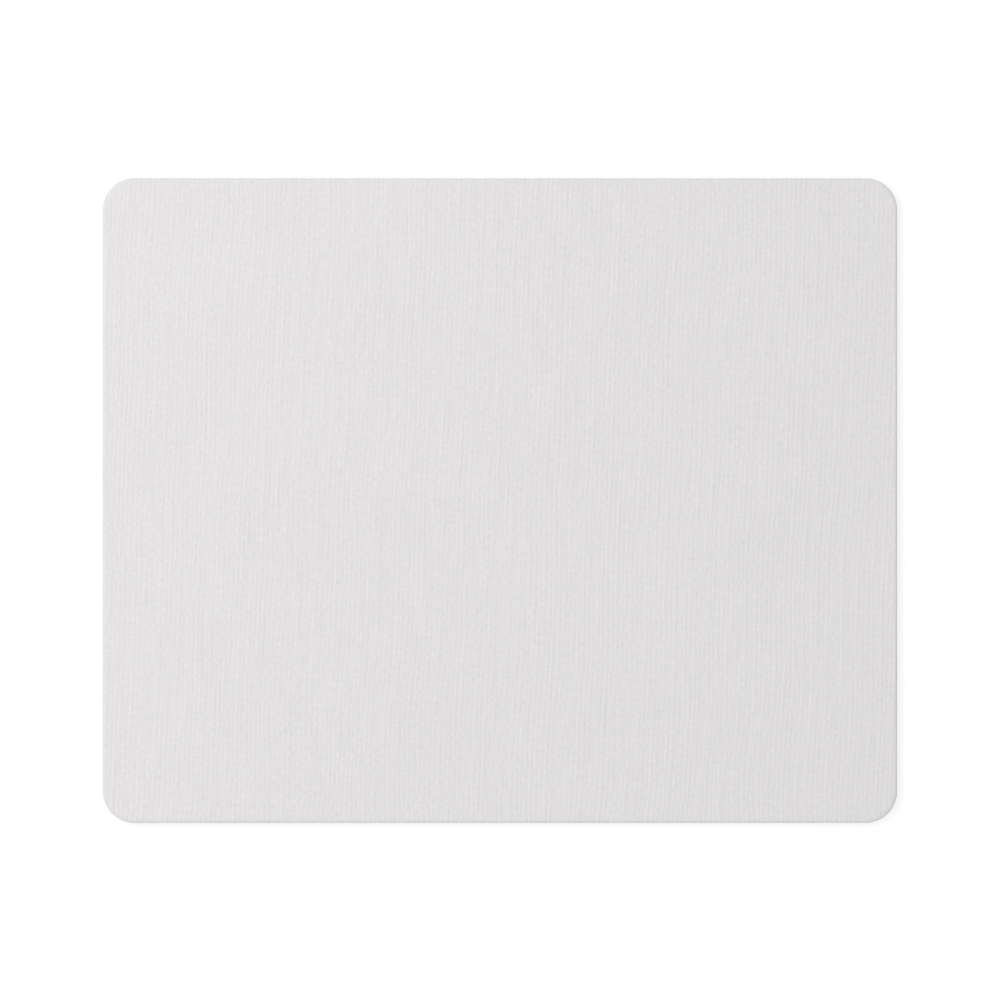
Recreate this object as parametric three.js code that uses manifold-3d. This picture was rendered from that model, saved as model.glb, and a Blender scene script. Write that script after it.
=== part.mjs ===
// A cloth-topped mouse pad: a knitted cover, a bonding film and a foam rubber base, cut to one outline by a die.
// Millimetres, +Z up. The origin is on the desk below the middle of the pad, +X runs along its long side
// and +Y points away from the user.

import * as THREE from 'three';
import { mergeVertices } from 'three/addons/utils/BufferGeometryUtils.js';
import Module from 'manifold-3d';

// Outline that the die cuts through every layer
const PAD_LENGTH = 220;
const PAD_DEPTH = 178.5;
const CORNER_RADIUS = 8.8;
const CORNER_STEPS = 12;

// Thickness of each layer
const COVER_THICKNESS = 0.5;
const FILM_THICKNESS = 0.1;
const BASE_THICKNESS = 2.4;

// Edge that the die leaves: it draws the cover's rim down, and the foam's cut wall springs back hollow
const RIM_WIDTH = 0.8;
const RIM_DROP = 0.35;
const RIM_STEPS = 5;
const WALL_HOLLOW = 0.2;
const WALL_STEPS = 6;

// Grip embossed in the underside: wavy V grooves along the pad, with flat lands between them
const GROOVE_PITCH = 6.5;
const GROOVE_WIDTH = 1.8;
const GROOVE_DEPTH = 0.35;
const WAVE_LENGTH = 22;
const WAVE_HEIGHT = 3.2;
const WAVE_STEPS = 6;
const PLAIN_RIM = 1.5;
const CUTTER_OVERSHOOT = 0.5;

const COVER_WHITE = 0xe4e2e3;
const FILM_CLEAR = 0xcfcbc2;
const RUBBER_BLACK = 0x1b1b1c;

const wasm = await Module();
wasm.setup();

// The die's outline drawn in by a given amount, as one ring of points at a given height
function outlineRing(inset, z) {
  const halfLength = PAD_LENGTH / 2 - inset;
  const halfDepth = PAD_DEPTH / 2 - inset;
  const radius = CORNER_RADIUS - inset;
  const ring = [];
  for (let corner = 0; corner < 4; corner += 1) {
    const sideX = corner === 0 || corner === 3 ? 1 : -1;
    const sideY = corner < 2 ? 1 : -1;
    const start = (corner * Math.PI) / 2;
    const centreX = sideX * (halfLength - radius);
    const centreY = sideY * (halfDepth - radius);
    const arc = new THREE.EllipseCurve(centreX, centreY, radius, radius, start, start + Math.PI / 2);
    for (const point of arc.getPoints(CORNER_STEPS)) {
      ring.push(new THREE.Vector3(point.x, point.y, z));
    }
  }
  return ring;
}

// A closed skin through a stack of rings with the same number of points, from the lowest to the highest
function loft(rings) {
  const count = rings[0].length;
  const top = (rings.length - 1) * count;
  const triangles = [];
  for (let level = 0; level < rings.length - 1; level += 1) {
    for (let i = 0; i < count; i += 1) {
      const near = level * count + i;
      const next = level * count + ((i + 1) % count);
      triangles.push(near, next, next + count);
      triangles.push(near, next + count, near + count);
    }
  }
  for (const [a, b, c] of THREE.ShapeUtils.triangulateShape(rings[0], [])) {
    triangles.push(c, b, a);
    triangles.push(top + a, top + b, top + c);
  }
  const geometry = new THREE.BufferGeometry().setFromPoints(rings.flat());
  geometry.setIndex(triangles);
  geometry.computeVertexNormals();
  return geometry;
}

// A geometry as a solid that can be cut
function toSolid(geometry) {
  const bare = geometry.clone();
  bare.deleteAttribute('normal');
  bare.deleteAttribute('uv');
  const merged = mergeVertices(bare);
  const mesh = new wasm.Mesh({
    numProp: 3,
    vertProperties: merged.getAttribute('position').array,
    triVerts: new Uint32Array(merged.getIndex().array),
  });
  return new wasm.Manifold(mesh);
}

// A cut solid as a geometry
function toGeometry(solid) {
  const mesh = solid.getMesh();
  const geometry = new THREE.BufferGeometry();
  geometry.setAttribute('position', new THREE.BufferAttribute(mesh.vertProperties, 3));
  geometry.setIndex(new THREE.BufferAttribute(mesh.triVerts, 1));
  geometry.computeVertexNormals();
  return geometry;
}

// Knitted cover: a plain sheet whose upper rim falls to the cut edge in a quarter ellipse
function coverGeometry() {
  const rings = [outlineRing(0, 0)];
  for (let step = 0; step <= RIM_STEPS; step += 1) {
    const angle = (step / RIM_STEPS) * (Math.PI / 2);
    const inset = RIM_WIDTH * (1 - Math.cos(angle));
    const fall = RIM_DROP * (1 - Math.sin(angle));
    rings.push(outlineRing(inset, COVER_THICKNESS - fall));
  }
  return loft(rings);
}

// Bonding film: the thin sheet of adhesive that holds the cover to the foam all over
function filmGeometry() {
  return loft([outlineRing(0, 0), outlineRing(0, FILM_THICKNESS)]);
}

// Foam sheet before the emboss: its cut wall is drawn in most at half its height
function foamGeometry() {
  const rings = [];
  for (let step = 0; step <= WALL_STEPS; step += 1) {
    const share = step / WALL_STEPS;
    rings.push(outlineRing(WALL_HOLLOW * Math.sin(share * Math.PI), share * BASE_THICKNESS));
  }
  return loft(rings);
}

// One wavy groove as a bar with a V on top, centred on the origin, that overshoots the underside and the short sides.
// Its odd number of steps puts the wave's middle, and so a land, over the origin.
function grooveGeometry() {
  const stepLength = WAVE_LENGTH / WAVE_STEPS;
  const steps = 2 * Math.ceil((PAD_LENGTH / 2 + CUTTER_OVERSHOOT) / stepLength) + 1;
  const halfMouth = GROOVE_WIDTH / 2;
  const section = new THREE.Shape([
    new THREE.Vector2(-halfMouth, -CUTTER_OVERSHOOT),
    new THREE.Vector2(halfMouth, -CUTTER_OVERSHOOT),
    new THREE.Vector2(halfMouth, 0),
    new THREE.Vector2(0, GROOVE_DEPTH),
    new THREE.Vector2(-halfMouth, 0),
  ]);
  const length = steps * stepLength;
  const bar = new THREE.ExtrudeGeometry(section, { depth: length, steps, bevelEnabled: false });
  bar.translate(0, 0, -length / 2);
  const alongX = new THREE.Matrix4().makeBasis(
    new THREE.Vector3(0, 1, 0),
    new THREE.Vector3(0, 0, 1),
    new THREE.Vector3(1, 0, 0),
  );
  bar.applyMatrix4(alongX);
  const points = bar.getAttribute('position');
  for (let i = 0; i < points.count; i += 1) {
    const swing = (WAVE_HEIGHT / 2) * Math.sin((2 * Math.PI * points.getX(i)) / WAVE_LENGTH);
    points.setY(i, points.getY(i) + swing);
  }
  return bar;
}

// Foam base with the grip: as many grooves on each side of the middle as keep clear of the long edges
function baseGeometry() {
  const groove = toSolid(grooveGeometry());
  const reach = PAD_DEPTH / 2 - PLAIN_RIM - (WAVE_HEIGHT + GROOVE_WIDTH) / 2;
  let foam = toSolid(foamGeometry());
  for (let y = GROOVE_PITCH / 2; y <= reach; y += GROOVE_PITCH) {
    foam = foam.subtract(groove.translate([0, y, 0]));
    foam = foam.subtract(groove.translate([0, -y, 0]));
  }
  return toGeometry(foam);
}

// One layer of the laminate at its height above the desk
function layer(name, geometry, z, color, roughness) {
  const material = new THREE.MeshStandardMaterial({ color, roughness, metalness: 0 });
  const mesh = new THREE.Mesh(geometry, material);
  mesh.name = name;
  mesh.position.z = z;
  return mesh;
}

const mousePad = new THREE.Group();
mousePad.add(layer('foam_base', baseGeometry(), 0, RUBBER_BLACK, 0.9));
mousePad.add(layer('bonding_film', filmGeometry(), BASE_THICKNESS, FILM_CLEAR, 0.5));
mousePad.add(layer('knit_cover', coverGeometry(), BASE_THICKNESS + FILM_THICKNESS, COVER_WHITE, 0.95));

export default mousePad;
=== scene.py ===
"""A cloth-topped mouse pad on a pale floor, seen straight from above.

A knitted cover with its wales as real ridges, a thin bonding film, and a foam rubber base with an
embossed grip. Each piece fits the layer of the frame that it stands for. Lengths are in metres.
"""

import math

import bpy
import numpy as np
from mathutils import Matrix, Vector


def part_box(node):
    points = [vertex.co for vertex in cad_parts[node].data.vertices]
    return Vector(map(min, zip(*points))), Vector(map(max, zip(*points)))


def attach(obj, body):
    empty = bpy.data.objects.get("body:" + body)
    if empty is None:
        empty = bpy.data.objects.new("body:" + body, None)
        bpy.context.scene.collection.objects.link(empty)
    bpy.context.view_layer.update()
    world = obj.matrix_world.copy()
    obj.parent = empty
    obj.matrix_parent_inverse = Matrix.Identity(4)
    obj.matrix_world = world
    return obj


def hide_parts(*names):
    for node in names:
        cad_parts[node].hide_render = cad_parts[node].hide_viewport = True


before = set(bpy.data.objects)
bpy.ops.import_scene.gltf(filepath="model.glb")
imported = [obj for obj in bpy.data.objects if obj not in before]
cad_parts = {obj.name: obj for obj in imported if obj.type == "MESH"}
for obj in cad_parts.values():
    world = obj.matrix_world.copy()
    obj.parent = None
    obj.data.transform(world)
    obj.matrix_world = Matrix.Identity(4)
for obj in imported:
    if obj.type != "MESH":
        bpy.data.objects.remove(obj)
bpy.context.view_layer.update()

MM = 0.001
COVER_SEED = 7
FILM_SEED = 8
BASE_SEED = 9

# Outline that the die cuts through every layer, from the frame
COVER_LOW, COVER_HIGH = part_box("knit_cover")
FILM_LOW, FILM_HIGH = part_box("bonding_film")
BASE_LOW, BASE_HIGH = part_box("foam_base")
PAD_LENGTH = COVER_HIGH.x - COVER_LOW.x
PAD_DEPTH = COVER_HIGH.y - COVER_LOW.y
CORNER_RADIUS = 8.8 * MM
WELD_REACH = 0.001 * MM

# Knit of the cover: wales along the short side, a little askew to the die, and the section of one wale
WALE_PITCH = 1.345 * MM
COURSE_PITCH = 0.72 * MM
WALE_RELIEF = 0.064 * MM
WALE_SECTION = (0.0, 0.62, 1.0, 0.62, 0.0)
WALE_LEAN = math.tan(math.radians(2.05))
LEAN_PASSES = 4
COLUMNS_PER_WALE = 4
ROW_PITCH = 1.36 * MM
SLIVER = 0.08 * MM

# Unevenness of the knit: an amount, and the columns and rows that it is spread over
WALE_BEND = (0.3 * MM, 28, 7.5)
WALE_CROWDING = (0.22 * MM, 14, 40)
WALE_WANDER = (0.06 * MM, 2, 1.2)
STITCH_SWELL = (0.3, 1.2, 0.8)
YARN_SWELL = (0.2, 1.5, 60)
BEND_MARGIN = 5 * MM
SWELL_MARGIN = 1 * MM

# Rim of the cover that the die draws down, and the turns of its corners that need a column each
RIM_WIDTH = 0.8 * MM
RIM_DROP = 0.35 * MM
RIM_ROUNDNESS = 1.4
RIM_STEPS = 6
SIDE_TURNS = (0, 4, 8, 12)

# Film and base: the spacing of their columns and the steps of their corners
LAYER_COLUMN = 1.6 * MM
CORNER_STEPS = 14

# Cut wall of the foam, which springs back hollow, and the level in the film where its edge is uneven
WALL_HOLLOW = 0.2 * MM
WALL_RINGS = 8
WALL_UNEVENNESS = 0.04 * MM
FILM_UNEVEN_LEVEL = 0.5

# Grip embossed in the underside: wavy grooves, whose root and lips are rounded by shares of the depth
GROOVE_PITCH = 6.5 * MM
GROOVE_WIDTH = 1.8 * MM
GROOVE_DEPTH = 0.35 * MM
GROOVE_ROOT = 0.12
GROOVE_LIP = 0.18
WAVE_LENGTH = 22 * MM
WAVE_HEIGHT = 3.2 * MM
PLAIN_RIM = 1.5 * MM

# Rows of the base's mesh on each side of a groove, as shares of half its width
GROOVE_ROWS = (0.25, 0.55, 0.8, 1.0, 1.2, 1.5)

# Largest angle between faces that is still shaded as one surface, in degrees
COVER_SMOOTH = 50
FILM_SMOOTH = 30
BASE_SMOOTH = 40

# Finishes share one speckle, and a value named RAMP is a gain and an offset
SPECKLE_DETAIL = 3

# Cloth: its white, its streaks as wales wide, courses long and contrast, and its stitches and fibres
CLOTH_WHITE = (0.787, 0.7705, 0.779)
CLOTH_STREAKS = (
    (0.39, 1.9, 0.18),
    (0.8, 1.2, 0.105),
    (0.7, 25, 0.085),
    (1.5, 5, 0.045),
    (1.5, 50, 0.04),
    (25, 50, 0.025),
)
STITCH_SLANT = 1.7
STITCH_DEPTH = 0.7
# Painted shade on the knit: stitch tops lighter and the gaps between stitches darker, by the stitches'
# height
STITCH_PAINTED_SHADE_RAMP = (0.02, 0.992)
STITCH_ROUGHNESS_RAMP = (-0.12, 0.95)
FIBRE_SIZE = 0.167 * MM
FIBRE_CONTRAST = 1.2
CLOTH_EMBOSS = 0.02 * MM
CLOTH_GLOSS = 0.2
CLOTH_SHEEN = 0.4
SHEEN_ROUGHNESS = 0.35

# Film: its pale straw colour, its clouds and its satin surface
FILM_STRAW = (0.62, 0.6, 0.55)
FILM_CLOUD = 3.3 * MM
FILM_CONTRAST = 0.4
FILM_EMBOSS = 0.02 * MM
FILM_ROUGHNESS = 0.45

# Foam: its black, the cells of its cut wall, and the pebbles, specks and pale bloom of its skin
FOAM_BLACK = (0.02, 0.02, 0.021)
PORE_SIZE = 0.38 * MM
PORE_REACH = 0.6
# Painted shade in the wall's pores: darker towards each pore's deepest middle
PORE_PAINTED_SHADE_RAMP = (2.5, 0.8)
PEBBLE_SIZE = 0.75 * MM
PEBBLE_HEIGHT = -0.5
# Painted light and shade on the skin's pebbles: lighter on their raised tops, darker in the hollows
# between them
PEBBLE_PAINTED_SHADE_RAMP = (-1.1, 1.45)
GRAIN_SIZE = 0.3 * MM
GRAIN_CONTRAST = 0.4
SPECK_SIZE = 1.4 * MM
SPECK_CONTRAST = 1.5
BLOOM_SIZE = 25 * MM
BLOOM_CONTRAST = 1.6
# Painted shade in the underside's grooves: darker the deeper into a groove, lighter on the lands
GROOVE_PAINTED_SHADE_RAMP = (-0.35, 1.1)
FOAM_EMBOSS = 0.2 * MM
FOAM_GLOSS = 0.35
LAND_ROUGHNESS = 0.52
WALL_ROUGHER = 0.3
GROOVE_ROUGHER = 0.25

# Stage: the floor glows a little so that it reads as white, and fades to the background
FLOOR_SIZE = 12
FLOOR_GREY = 0.2
GLOW_NEAR = 0.83
GLOW_FAR = 0.9
GLOW_FROM = 0.2
GLOW_TO = 0.7
LAMP_PLACE = (-0.82, 0.36, 1.34)
LAMP_SIZE = 0.8
LAMP_WATTS = 12.9
SKY_LEVEL = 0.565

# Camera: its frame is a little wider than the pad, as in the photograph
FRAME_WIDTH = 276.9 * MM
FRAME_RISE = 0.17 * MM
CAMERA_HEIGHT = 1.1
SENSOR_WIDTH = 36


def read_points(piece):
    """The piece's vertices as an array with one row each."""
    points = np.empty(len(piece.data.vertices) * 3)
    piece.data.vertices.foreach_get("co", points)
    return points.reshape(-1, 3)


def write_points(piece, points):
    """Puts the piece's vertices where the array says."""
    piece.data.vertices.foreach_set("co", points.ravel())
    piece.data.update()


def picked_vertices(piece):
    """Which of the piece's vertices are selected."""
    picked = np.empty(len(piece.data.vertices), bool)
    piece.data.vertices.foreach_get("select", picked)
    return picked


def give_values(piece, name, values):
    """Gives the piece one number per vertex, under a name that its material can read."""
    attribute = piece.data.attributes.new(name, "FLOAT", "POINT")
    attribute.data.foreach_set("value", values.astype(np.float32))


def take_values(piece, name):
    """Takes the numbers of that name off the piece again."""
    attribute = piece.data.attributes[name]
    values = np.empty(len(piece.data.vertices), np.float32)
    attribute.data.foreach_get("value", values)
    piece.data.attributes.remove(attribute)
    return values


def blurred(noise, axis, blur):
    """An array smoothed along one axis, as if it went on in a ring."""
    reach = int(3 * blur) + 1
    kernel = np.exp(-0.5 * (np.arange(-reach, reach + 1) / blur) ** 2)
    margins = [(0, 0), (0, 0)]
    margins[axis] = (reach, reach)
    ring = np.pad(noise, margins, mode="wrap")
    return np.apply_along_axis(np.convolve, axis, ring, kernel / kernel.sum(), mode="valid")


def soft_noise(random, shape, amount, column_blur, row_blur):
    """Even noise on a grid of columns and rows, with a spread of the given amount."""
    noise = random.standard_normal(shape)
    noise = blurred(noise, 0, column_blur)
    noise = blurred(noise, 1, row_blur)
    return amount * noise / noise.std()


def half_depth_at(x, inset):
    """Half the outline's depth at a place along the pad, with the outline drawn in by inset."""
    radius = CORNER_RADIUS - inset
    into_corner = np.clip(np.abs(x) - (PAD_LENGTH / 2 - CORNER_RADIUS), 0, radius)
    return PAD_DEPTH / 2 - CORNER_RADIUS + np.sqrt(radius**2 - into_corner**2)


def outward(points):
    """Unit vectors square to the outline, at points on it or on a copy that is drawn in a little."""
    past_corner = np.abs(points[:, :2]) - (np.array([PAD_LENGTH, PAD_DEPTH]) / 2 - CORNER_RADIUS)
    past_corner = np.maximum(past_corner, 0)
    return np.sign(points[:, :2]) * past_corner / np.linalg.norm(past_corner, axis=1)[:, None]


def new_grid(name, columns, rows):
    """A flat grid as the start of a sheet, with the column and row number of each vertex."""
    bpy.ops.object.select_all(action="DESELECT")
    bpy.ops.mesh.primitive_grid_add(x_subdivisions=columns, y_subdivisions=rows, size=2)
    piece = bpy.context.object
    piece.name = name
    piece.data.name = name
    points = read_points(piece)
    column = np.rint((points[:, 0] + 1) / 2 * columns).astype(int)
    row = np.rint((points[:, 1] + 1) / 2 * rows).astype(int)
    return piece, column, row


def weld(piece):
    """Merges the vertices that lie on each other."""
    bpy.ops.object.mode_set(mode="EDIT")
    bpy.ops.mesh.select_all(action="SELECT")
    bpy.ops.mesh.remove_doubles(threshold=WELD_REACH)
    bpy.ops.object.mode_set(mode="OBJECT")


def select_open_edge(piece):
    """Selects the open edge of a sheet, and counts its vertices."""
    bpy.ops.object.mode_set(mode="EDIT")
    bpy.ops.mesh.select_mode(type="EDGE")
    bpy.ops.mesh.select_all(action="SELECT")
    bpy.ops.mesh.region_to_loop()
    bpy.ops.object.mode_set(mode="OBJECT")
    return np.count_nonzero(picked_vertices(piece))


def grow_edge(piece, out, level, share):
    """Extrudes the selected open edge outwards by out, and a share of the way to a level."""
    bpy.ops.object.mode_set(mode="EDIT")
    bpy.ops.mesh.extrude_region()
    bpy.ops.object.mode_set(mode="OBJECT")
    points = read_points(piece)
    edge = picked_vertices(piece)
    ring = points[edge]
    ring[:, :2] += outward(ring) * np.reshape(out, (-1, 1))
    ring[:, 2] += (level - ring[:, 2]) * share
    points[edge] = ring
    write_points(piece, points)


def close_and_smooth(piece, angle):
    """Fills the open edge with a fan, turns every face outwards and smooths all but the sharp edges."""
    bpy.ops.object.mode_set(mode="EDIT")
    bpy.ops.mesh.edge_face_add()
    bpy.ops.mesh.poke()
    bpy.ops.mesh.select_all(action="SELECT")
    bpy.ops.mesh.normals_make_consistent(inside=False)
    bpy.ops.object.mode_set(mode="OBJECT")
    bpy.ops.object.shade_smooth_by_angle(angle=math.radians(angle))


def cover_columns():
    """Places of the cover's columns, which of them lean, and how far out those reach.

    A few straight columns line each short side, and between them the columns follow the wales.
    """
    turned_in = (CORNER_RADIUS - RIM_WIDTH) * (1 - np.cos(np.radians(SIDE_TURNS)))
    side = PAD_LENGTH / 2 - RIM_WIDTH - turned_in
    limit = side[-1]
    half_count = COLUMNS_PER_WALE * math.ceil((limit + WALE_LEAN * PAD_DEPTH / 2) / WALE_PITCH + 1)
    wales = np.arange(-half_count, half_count + 1) / COLUMNS_PER_WALE * WALE_PITCH
    places = np.concatenate([-side, wales, side[::-1]])
    leaning = np.repeat([False, True, False], [len(side), len(wales), len(side)])
    return places, leaning, limit


def make_cover():
    """Knitted cover: a sheet with a ridge for each wale, rolled down to its cut edge."""
    random = np.random.default_rng(COVER_SEED)
    places, leaning, limit = cover_columns()
    rows = round(PAD_DEPTH / ROW_PITCH)
    cover, column, row = new_grid("cover", len(places) - 1, rows)
    shape = (len(places), rows + 1)
    bends = (WALE_BEND, WALE_CROWDING, WALE_WANDER)
    bend = sum(soft_noise(random, shape, *kind) for kind in bends)
    swells = (STITCH_SWELL, YARN_SWELL)
    swell = sum(soft_noise(random, shape, *kind) for kind in swells)

    # A column that leans past the side ends there, and the depth of a row depends on its columns' places
    up = 2 * row / rows - 1
    y = up * (PAD_DEPTH / 2 - RIM_WIDTH)
    for _ in range(LEAN_PASSES):
        x = places[column] + leaning[column] * WALE_LEAN * y
        to_edge = np.minimum(limit - np.abs(x), (1 - np.abs(up)) * PAD_DEPTH / 2)
        sway = np.clip(to_edge / BEND_MARGIN, 0, 1) * bend[column, row]
        x = x + sway
        run_out = leaning[column] & (np.abs(x) > limit - SLIVER)
        x = np.where(run_out, np.sign(x) * limit, x)
        sway = np.where(run_out, 0, sway)
        y = up * half_depth_at(x, RIM_WIDTH)

    wale = (x - sway - WALE_LEAN * y) / WALE_PITCH
    ridge = np.interp(wale % 1, np.linspace(0, 1, len(WALE_SECTION)), WALE_SECTION)
    uneven = swell[column, row] * np.clip((limit - np.abs(x)) / SWELL_MARGIN, 0, 1)
    z = COVER_HIGH.z - WALE_RELIEF + WALE_RELIEF * ridge * (1 + uneven)
    write_points(cover, np.stack([x, y, z], axis=1))
    give_values(cover, "wale", wale)
    weld(cover)
    roll_rim(cover)
    map_stitches(cover)
    return cover


def roll_rim(cover):
    """Rolls the open edge of the cover down to its cut, and closes the underside."""
    select_open_edge(cover)
    thickness = COVER_HIGH.z - COVER_LOW.z
    width = 0.0
    height = thickness
    for step in range(1, RIM_STEPS + 1):
        reach = math.sin(math.pi / 2 * step / RIM_STEPS)
        fall = 1 - (1 - reach**RIM_ROUNDNESS) ** (1 / RIM_ROUNDNESS)
        lower = thickness - RIM_DROP * fall
        grow_edge(cover, RIM_WIDTH * reach - width, COVER_LOW.z, 1 - lower / height)
        width = RIM_WIDTH * reach
        height = lower
    grow_edge(cover, 0, COVER_LOW.z, 1)
    close_and_smooth(cover, COVER_SMOOTH)


def map_stitches(cover):
    """A UV map that counts wales and courses, so that the stitches follow the ridges and the rim."""
    points = read_points(cover)
    x = points[:, 0]
    y = points[:, 1]
    inside_ends = np.abs(x) <= PAD_LENGTH / 2 - RIM_WIDTH + WELD_REACH
    on_field = inside_ends & (np.abs(y) <= half_depth_at(x, RIM_WIDTH) + WELD_REACH)
    wale = np.where(on_field, take_values(cover, "wale"), (x - WALE_LEAN * y) / WALE_PITCH)
    course = (y + WALE_LEAN * x) / COURSE_PITCH
    corner_vertex = np.empty(len(cover.data.loops), np.int32)
    cover.data.loops.foreach_get("vertex_index", corner_vertex)
    uv = np.stack([wale[corner_vertex], course[corner_vertex]], axis=1)
    layer = cover.data.uv_layers.new(name="knit")
    layer.uv.foreach_set("vector", uv.astype(np.float32).ravel())


def corner_columns():
    """Places of the other layers' columns: even on the straight, closer round the corners."""
    straight = PAD_LENGTH / 2 - CORNER_RADIUS
    middle = np.linspace(-straight, straight, round(2 * straight / LAYER_COLUMN) + 1)
    turn = straight + CORNER_RADIUS * np.sin(np.linspace(0, math.pi / 2, CORNER_STEPS + 1)[1:])
    return np.concatenate([-turn[::-1], middle, turn])


def make_film():
    """Bonding film: a thin sheet, pressed out a little unevenly along the cut."""
    random = np.random.default_rng(FILM_SEED)
    places = corner_columns()
    rows = round(PAD_DEPTH / LAYER_COLUMN)
    film, column, row = new_grid("film", len(places) - 1, rows)
    x = places[column]
    y = (2 * row / rows - 1) * half_depth_at(x, 0)
    write_points(film, np.stack([x, y, np.full(len(x), FILM_LOW.z)], axis=1))

    edge_count = select_open_edge(film)
    grow_edge(film, -random.uniform(0, WALL_UNEVENNESS, edge_count), FILM_HIGH.z, FILM_UNEVEN_LEVEL)
    grow_edge(film, 0, FILM_HIGH.z, 1)
    close_and_smooth(film, FILM_SMOOTH)
    return film


def wave_at(x):
    """How far a groove swings to the side at a place along the pad."""
    return WAVE_HEIGHT / 2 * np.sin(2 * math.pi * x / WAVE_LENGTH)


def groove_profile(off_centre):
    """Share of a groove's depth at a distance from its middle: a V with a round root and soft lips."""
    across = off_centre / (GROOVE_WIDTH / 2)
    flank = 1 + GROOVE_ROOT - np.sqrt(across**2 + GROOVE_ROOT**2)
    return (flank + np.sqrt(flank**2 + GROOVE_LIP**2)) / 2


def groove_rise(x, y):
    """How far the embossed underside rises above the desk."""
    across = (y - wave_at(x)) / GROOVE_PITCH
    off_centre = np.abs(across % 1 - 0.5) * GROOVE_PITCH
    line = np.abs(np.floor(across) + 0.5) * GROOVE_PITCH
    reach = PAD_DEPTH / 2 - PLAIN_RIM - (WAVE_HEIGHT + GROOVE_WIDTH) / 2
    share = np.maximum(groove_profile(off_centre) - groove_profile(GROOVE_PITCH / 2), 0)
    return np.where(line <= reach, GROOVE_DEPTH * share, 0)


def make_base():
    """Foam rubber base: embossed underside, hollow cut wall and flat top under the film."""
    random = np.random.default_rng(BASE_SEED)
    places = corner_columns()
    half_count = math.floor(PAD_DEPTH / 2 / GROOVE_PITCH)
    lands = np.arange(-half_count, half_count + 1) * GROOVE_PITCH
    lines = np.append(lands, lands[-1] + GROOVE_PITCH) - GROOVE_PITCH / 2
    to_side = np.array(GROOVE_ROWS) * GROOVE_WIDTH / 2
    across = np.concatenate([-to_side, [0], to_side])
    levels = np.sort(np.concatenate([(lines[:, None] + across).ravel(), lands]))
    rows = len(levels) - 1
    base, column, row = new_grid("base", len(places) - 1, rows)

    # The rows follow the wave, and those that leave the pad end on its edge
    x = places[column]
    edge = half_depth_at(x, 0)
    y = np.clip(levels[row] + wave_at(x), -edge, edge)
    y = np.where(row == 0, -edge, np.where(row == rows, edge, y))
    write_points(base, np.stack([x, y, BASE_LOW.z + groove_rise(x, y)], axis=1))
    weld(base)
    skin_count = len(base.data.vertices)

    edge_count = select_open_edge(base)
    drawn_in = 0
    for ring in range(1, WALL_RINGS + 1):
        depth = WALL_HOLLOW + random.uniform(0, WALL_UNEVENNESS, edge_count)
        draw_in = depth * math.sin(math.pi * ring / WALL_RINGS)
        grow_edge(base, drawn_in - draw_in, BASE_HIGH.z, 1 / (WALL_RINGS - ring + 1))
        drawn_in = draw_in
    close_and_smooth(base, BASE_SMOOTH)

    points = read_points(base)
    on_wall = np.arange(len(points)) >= skin_count
    give_values(base, "wall", on_wall)
    give_values(base, "groove", np.where(on_wall, 0, (points[:, 2] - BASE_LOW.z) / GROOVE_DEPTH))
    return base


def new_material(name):
    """An empty node material: itself, its nodes and its Principled shader."""
    material = bpy.data.materials.new(name)
    material.use_nodes = True
    return material, material.node_tree, material.node_tree.nodes["Principled BSDF"]


def node(tree, kind, *links, **settings):
    """Adds a node, sets what is named, and gives each (socket, value) a link or a number."""
    made = tree.nodes.new(kind)
    for name, value in settings.items():
        setattr(made, name, value)
    for socket, value in links:
        if isinstance(value, bpy.types.NodeSocket):
            tree.links.new(value, made.inputs[socket])
        else:
            made.inputs[socket].default_value = value
    return made


def math_node(tree, operation, *values):
    """One step of arithmetic, with sockets or numbers as its values."""
    return node(tree, "ShaderNodeMath", *enumerate(values), operation=operation).outputs[0]


def vector_node(tree, operation, *values):
    """One step of vector arithmetic, with sockets or vectors as its values."""
    return node(tree, "ShaderNodeVectorMath", *enumerate(values), operation=operation).outputs["Vector"]


def length_of(tree, vector):
    """Length of a vector."""
    return node(tree, "ShaderNodeVectorMath", (0, vector), operation="LENGTH").outputs["Value"]


def product(tree, *values):
    """Several sockets or numbers multiplied."""
    result = values[0]
    for value in values[1:]:
        result = math_node(tree, "MULTIPLY", result, value)
    return result


def total(tree, *values):
    """Several sockets or numbers added."""
    result = values[0]
    for value in values[1:]:
        result = math_node(tree, "ADD", result, value)
    return result


def ramp(tree, value, gain, offset):
    """A socket times a gain, plus an offset."""
    return math_node(tree, "MULTIPLY_ADD", value, gain, offset)


def object_place(tree):
    """Object coordinates."""
    return node(tree, "ShaderNodeTexCoord").outputs["Object"]


def vertex_value(tree, name):
    """A number that the piece carries on its vertices."""
    return node(tree, "ShaderNodeAttribute", attribute_name=name).outputs["Fac"]


def cell_distance(tree, place, size):
    """Distance to the middle of the nearest of many small cells."""
    return node(tree, "ShaderNodeTexVoronoi", ("Vector", place), ("Scale", 1 / size)).outputs["Distance"]


def tint(tree, shader, colour, tone):
    """Links the shader's colour to a plain colour that a tone makes lighter or darker."""
    shade = node(tree, "ShaderNodeVectorMath", (0, colour), ("Scale", tone), operation="SCALE")
    tree.links.new(shade.outputs["Vector"], shader.inputs["Base Color"])


def emboss(tree, shader, height, depth):
    """Links the shader's normal to a height."""
    bump = node(tree, "ShaderNodeBump", ("Height", height), ("Strength", 1.0), ("Distance", depth))
    tree.links.new(bump.outputs["Normal"], shader.inputs["Normal"])


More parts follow.
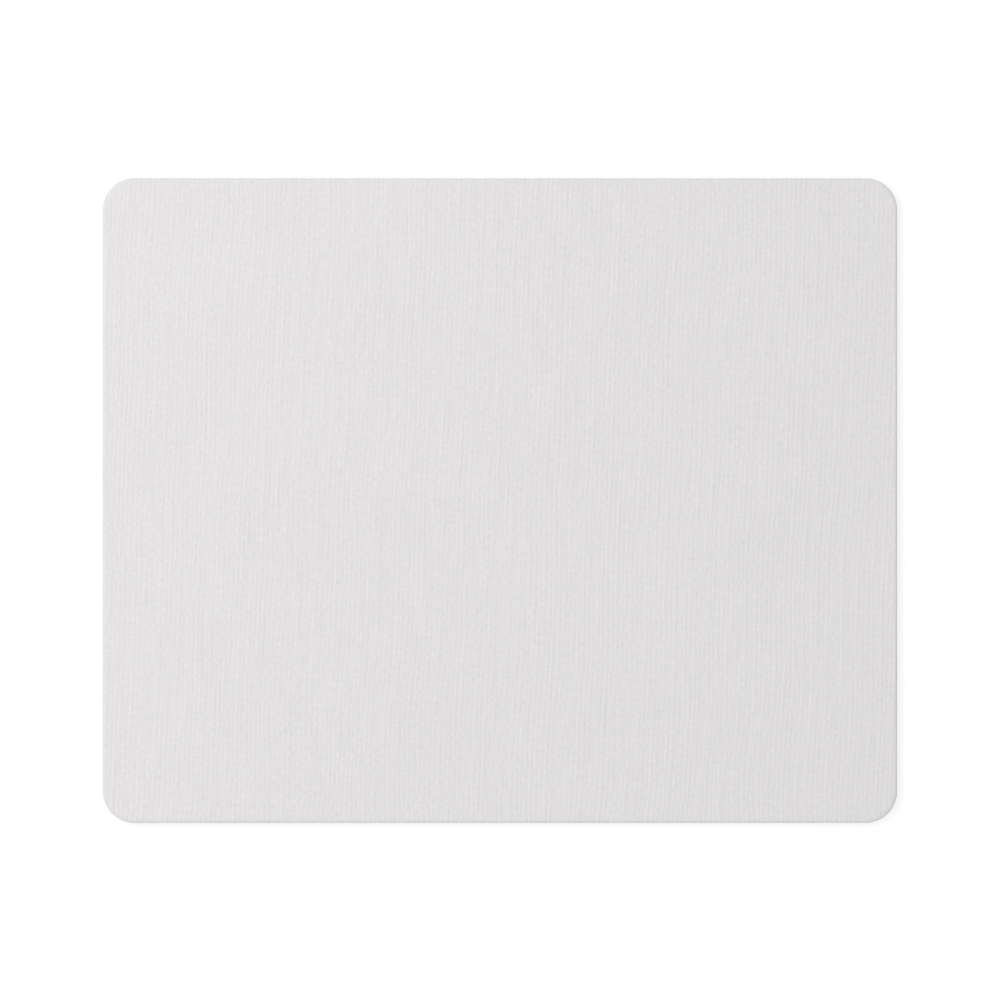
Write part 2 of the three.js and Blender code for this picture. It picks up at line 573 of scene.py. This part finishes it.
def speckle_group():
    """Node group of fine even speckle around 1, for tone and height."""
    group = bpy.data.node_groups.new("fine_speckle", "ShaderNodeTree")
    group.interface.new_socket("Vector", in_out="INPUT", socket_type="NodeSocketVector")
    group.interface.new_socket("Scale", in_out="INPUT", socket_type="NodeSocketFloat")
    group.interface.new_socket("Contrast", in_out="INPUT", socket_type="NodeSocketFloat")
    group.interface.new_socket("Value", in_out="OUTPUT", socket_type="NodeSocketFloat")
    inputs = node(group, "NodeGroupInput").outputs
    noise = node(
        group,
        "ShaderNodeTexNoise",
        ("Vector", inputs["Vector"]),
        ("Scale", inputs["Scale"]),
        ("Detail", SPECKLE_DETAIL),
    )
    around_zero = math_node(group, "SUBTRACT", noise.outputs[0], 0.5)
    value = ramp(group, around_zero, inputs["Contrast"], 1.0)
    node(group, "NodeGroupOutput", ("Value", value))
    return group


def speckle(tree, group, place, size, contrast):
    """The fine speckle with marks of a given size."""
    links = (("Vector", place), ("Scale", 1 / size), ("Contrast", contrast))
    return node(tree, "ShaderNodeGroup", *links, node_tree=group).outputs["Value"]


def knit_material(group):
    """White polyester knit: slanted stitches on both legs of each wale, uneven yarn and fibre."""
    material, tree, shader = new_material("knit_polyester")
    stitch_place = node(tree, "ShaderNodeUVMap", uv_map="knit").outputs["UV"]
    counts = node(tree, "ShaderNodeSeparateXYZ", (0, stitch_place)).outputs
    in_wale = math_node(tree, "FRACT", counts["X"])
    from_middle = math_node(tree, "ABSOLUTE", math_node(tree, "SUBTRACT", in_wale, 0.5))

    # From -1 to 1 across each of the wale's two legs, so that a leg is highest along its middle
    across_leg = ramp(tree, from_middle, 4, -1)
    leg = math_node(tree, "SUBTRACT", 1.0, product(tree, across_leg, across_leg))
    slanted = ramp(tree, from_middle, STITCH_SLANT, counts["Y"])
    wave = math_node(tree, "COSINE", product(tree, slanted, 2 * math.pi))
    stitch = ramp(tree, wave, STITCH_DEPTH / 2, 1 - STITCH_DEPTH / 2)
    bead = product(tree, leg, stitch)
    fibre = speckle(tree, group, object_place(tree), FIBRE_SIZE, FIBRE_CONTRAST)
    emboss(tree, shader, total(tree, bead, fibre), CLOTH_EMBOSS)

    # Painted shade between the stitches: the colour follows each stitch's height, lighter on top and
    # darker in the gaps
    tone = ramp(tree, bead, *STITCH_PAINTED_SHADE_RAMP)
    for wales_wide, courses_long, contrast in CLOTH_STREAKS:
        shrink = (1 / wales_wide, 1 / courses_long, 1.0)
        place = vector_node(tree, "MULTIPLY", stitch_place, shrink)
        tone = product(tree, tone, speckle(tree, group, place, 1.0, contrast))
    tint(tree, shader, CLOTH_WHITE, tone)
    tree.links.new(ramp(tree, bead, *STITCH_ROUGHNESS_RAMP), shader.inputs["Roughness"])
    shader.inputs["Specular IOR Level"].default_value = CLOTH_GLOSS
    shader.inputs["Sheen Weight"].default_value = CLOTH_SHEEN
    shader.inputs["Sheen Roughness"].default_value = SHEEN_ROUGHNESS
    return material


def film_material(group):
    """Cloudy hot-melt adhesive."""
    material, tree, shader = new_material("hot_melt_film")
    cloud = speckle(tree, group, object_place(tree), FILM_CLOUD, FILM_CONTRAST)
    tint(tree, shader, FILM_STRAW, cloud)
    emboss(tree, shader, cloud, FILM_EMBOSS)
    tree.links.new(product(tree, cloud, FILM_ROUGHNESS), shader.inputs["Roughness"])
    return material


def foam_material(group):
    """Black foam rubber: open cells on the cut wall, and a pebbled skin with rubbed lands underneath;
    painted shade darkens the pores, the hollows between pebbles and the grooves.
    """
    material, tree, shader = new_material("foam_rubber")
    place = object_place(tree)
    wall = vertex_value(tree, "wall")
    skin = math_node(tree, "SUBTRACT", 1.0, wall)
    groove = vertex_value(tree, "groove")
    cell = math_node(tree, "MINIMUM", cell_distance(tree, place, PORE_SIZE), PORE_REACH)
    pore = product(tree, cell, wall)
    pebble = product(tree, cell_distance(tree, place, PEBBLE_SIZE), skin)
    grain = speckle(tree, group, place, GRAIN_SIZE, GRAIN_CONTRAST)

    # Distances are least in the middle, so a pore is deepest there and a pebble, turned over, highest
    height = total(tree, pore, product(tree, pebble, PEBBLE_HEIGHT), grain)
    emboss(tree, shader, height, FOAM_EMBOSS)

    specks = speckle(tree, group, place, SPECK_SIZE, SPECK_CONTRAST)
    bloom = speckle(tree, group, place, BLOOM_SIZE, BLOOM_CONTRAST)
    # Painted shade: the pores of the cut wall darken towards their deepest middles
    pore_painted_shade = ramp(tree, pore, *PORE_PAINTED_SHADE_RAMP)
    # Painted light and shade: each pebble lighter on its raised top and darker in the hollows between
    # pebbles
    pebble_painted_shade = ramp(tree, pebble, *PEBBLE_PAINTED_SHADE_RAMP)
    # Painted shade: darker the deeper into a groove of the underside, lighter on the lands
    groove_painted_shade = ramp(tree, groove, *GROOVE_PAINTED_SHADE_RAMP)
    tone = product(tree, specks, bloom, pore_painted_shade, pebble_painted_shade, groove_painted_shade)
    tint(tree, shader, FOAM_BLACK, tone)
    rougher_wall = product(tree, wall, WALL_ROUGHER)
    rougher_groove = product(tree, groove, GROOVE_ROUGHER)
    roughness = total(tree, rougher_wall, rougher_groove, LAND_ROUGHNESS)
    tree.links.new(product(tree, roughness, specks), shader.inputs["Roughness"])
    shader.inputs["Specular IOR Level"].default_value = FOAM_GLOSS
    return material


def dress(piece, material, cad_node):
    """Gives a piece its material, hangs it on the root body and hides the CAD part that it stands for.
    """
    piece.data.materials.append(material)
    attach(piece, "root")
    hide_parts(cad_node)


def background_share(tree):
    """1 for rays from the camera, a reflection or glass, and 0 for the light that falls on things."""
    rays = node(tree, "ShaderNodeLightPath").outputs
    seen = math_node(tree, "MAXIMUM", rays["Is Camera Ray"], rays["Is Glossy Ray"])
    return math_node(tree, "MAXIMUM", seen, rays["Is Transmission Ray"])


def clear_of_pad(tree, place):
    """1 outside the pad's outline and 0 under it, where leaving off the floor's glow paints shadow."""
    turn_middle = (PAD_LENGTH / 2 - CORNER_RADIUS, PAD_DEPTH / 2 - CORNER_RADIUS, 0)
    to_middle = vector_node(tree, "ABSOLUTE", place)
    past_turn = vector_node(tree, "SUBTRACT", to_middle, turn_middle)
    outside = vector_node(tree, "MAXIMUM", past_turn, (0, 0, 0))
    return math_node(tree, "GREATER_THAN", length_of(tree, outside), CORNER_RADIUS)


def make_floor():
    """Pale floor that reads as white and keeps the pad's shadow."""
    bpy.ops.object.select_all(action="DESELECT")
    bpy.ops.mesh.primitive_plane_add(size=FLOOR_SIZE)
    floor = bpy.context.object
    floor.name = "floor"
    material, tree, shader = new_material("pale_floor")
    shader.inputs["Base Color"].default_value = (FLOOR_GREY, FLOOR_GREY, FLOOR_GREY, 1)
    shader.inputs["Roughness"].default_value = 1.0
    shader.inputs["Specular IOR Level"].default_value = 0.0
    shader.inputs["Emission Color"].default_value = (1, 1, 1, 1)
    place = object_place(tree)
    glow = node(
        tree,
        "ShaderNodeMapRange",
        ("Value", length_of(tree, place)),
        ("From Min", GLOW_FROM),
        ("From Max", GLOW_TO),
        ("To Min", GLOW_NEAR),
        ("To Max", GLOW_FAR),
    )
    # The glow is left off under the pad's outline: painted shadow where the pad lies
    shown = product(tree, clear_of_pad(tree, place), background_share(tree))
    strength = product(tree, glow.outputs["Result"], shown)
    tree.links.new(strength, shader.inputs["Emission Strength"])
    floor.data.materials.append(material)


def make_light():
    """A large soft lamp above the upper left corner, and even light from all round."""
    lamp = bpy.data.lights.new("key", "AREA")
    lamp.shape = "DISK"
    lamp.size = LAMP_SIZE
    lamp.energy = LAMP_WATTS
    key = bpy.data.objects.new("key", lamp)
    bpy.context.scene.collection.objects.link(key)
    key.location = LAMP_PLACE
    key.rotation_euler = (-key.location).to_track_quat("-Z", "Y").to_euler()

    world = bpy.data.worlds.new("studio")
    bpy.context.scene.world = world
    world.use_nodes = True
    tree = world.node_tree
    level = node(tree, "ShaderNodeMapRange", ("Value", background_share(tree)), ("To Min", SKY_LEVEL))
    background = tree.nodes["Background"]
    background.inputs["Color"].default_value = (1, 1, 1, 1)
    tree.links.new(level.outputs["Result"], background.inputs["Strength"])


def make_camera():
    """A long lens straight above the middle of the pad."""
    lens = bpy.data.cameras.new("camera")
    lens.sensor_width = SENSOR_WIDTH
    lens.lens = SENSOR_WIDTH * CAMERA_HEIGHT / FRAME_WIDTH
    camera = bpy.data.objects.new("camera", lens)
    bpy.context.scene.collection.objects.link(camera)
    camera.location = (0, FRAME_RISE, COVER_HIGH.z + CAMERA_HEIGHT)
    bpy.context.scene.camera = camera


cover = make_cover()
film = make_film()
base = make_base()
fine_speckle = speckle_group()
dress(cover, knit_material(fine_speckle), "knit_cover")
dress(film, film_material(fine_speckle), "bonding_film")
dress(base, foam_material(fine_speckle), "foam_base")
make_floor()
make_light()
make_camera()
bpy.context.scene.view_settings.view_transform = "Standard"
